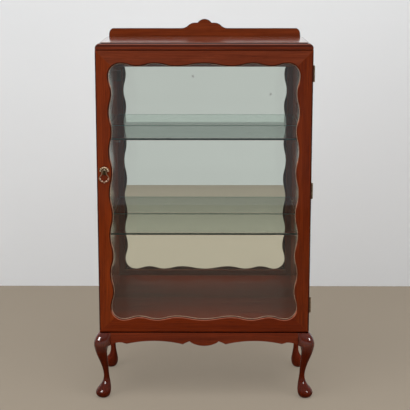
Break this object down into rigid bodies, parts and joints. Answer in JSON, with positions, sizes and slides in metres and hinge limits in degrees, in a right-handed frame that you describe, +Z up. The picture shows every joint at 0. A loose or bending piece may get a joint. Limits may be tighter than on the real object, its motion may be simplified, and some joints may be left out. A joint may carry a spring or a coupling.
{
  "type": "display cabinet",
  "caption": "Free-standing glazed display cabinet on cabriole legs, with a hinged scalloped door, mirror back, glass shelves and a shaped gallery.",
  "frame": {"origin": "on the floor under the middle of the cabinet's outline", "axes": "+X to the right seen from the front, +Y to the back, +Z up; the door faces -Y"},
  "size_m": [0.724, 0.3688, 1.2241],
  "materials": {
    "mahogany": "gloss red-brown lacquer",
    "plain_timber": "bare pine",
    "plywood": "bare plywood",
    "mirror": "silvered plate glass",
    "shelf_glass": "polished plate glass",
    "door_glass": "clear window glass",
    "brass": "aged brass",
    "steel": "plain steel",
    "brown_plastic": "moulded brown plastic",
    "magnet": "black ferrite"
  },
  "bodies": {
    "case": {"left_side_panel": "mahogany", "right_side_panel": "mahogany", "bottom_board": "mahogany", "front_top_rail": "mahogany", "back_top_rail": "mahogany", "top_board": "mahogany", "gallery": "mahogany", "front_apron": "mahogany", "left_apron": "mahogany", "right_apron": "mahogany", "rear_apron": "mahogany", "front_left_leg": "mahogany", "front_right_leg": "mahogany", "rear_left_leg": "mahogany", "rear_right_leg": "mahogany", "corner_blocks": "plain_timber", "backing": "plywood", "mirror": "mirror", "lower_shelf": "shelf_glass", "upper_shelf": "shelf_glass", "shelf_pegs": "brass", "base_screws": "steel", "back_screws": "steel", "lower_hinge_case_leaf": "brass", "middle_hinge_case_leaf": "brass", "upper_hinge_case_leaf": "brass", "hinge_pins": "brass", "hinge_case_screws": "brass", "catch_housing": "brown_plastic", "catch_magnet": "magnet", "catch_screws": "steel"},
    "door": {"door_top_rail": "mahogany", "door_bottom_rail": "mahogany", "door_left_stile": "mahogany", "door_right_stile": "mahogany", "glazing_bead_left": "mahogany", "glazing_bead_right": "mahogany", "glazing_bead_top": "mahogany", "glazing_bead_bottom": "mahogany", "door_glass": "door_glass", "lower_hinge_door_leaf": "brass", "middle_hinge_door_leaf": "brass", "upper_hinge_door_leaf": "brass", "hinge_door_screws": "brass", "handle_backplate": "brass", "handle_post": "brass", "handle_bolt": "steel", "catch_strike": "steel", "strike_screw": "steel"},
    "bail": {"handle_bail": "brass"}
  },
  "joints": [
    {"name": "door_hinge", "type": "hinge", "parent": "case", "child": "door", "pos_m": [0.3465, -0.14195, 0.684], "axis": [0, 0, 1], "range_deg": [0, 180]},
    {"name": "bail_swing", "type": "hinge", "parent": "door", "child": "bail", "pos_m": [-0.3185, -0.17055, 0.7585], "axis": [-1, 0, 0], "range_deg": [0, 85]}
  ]
}
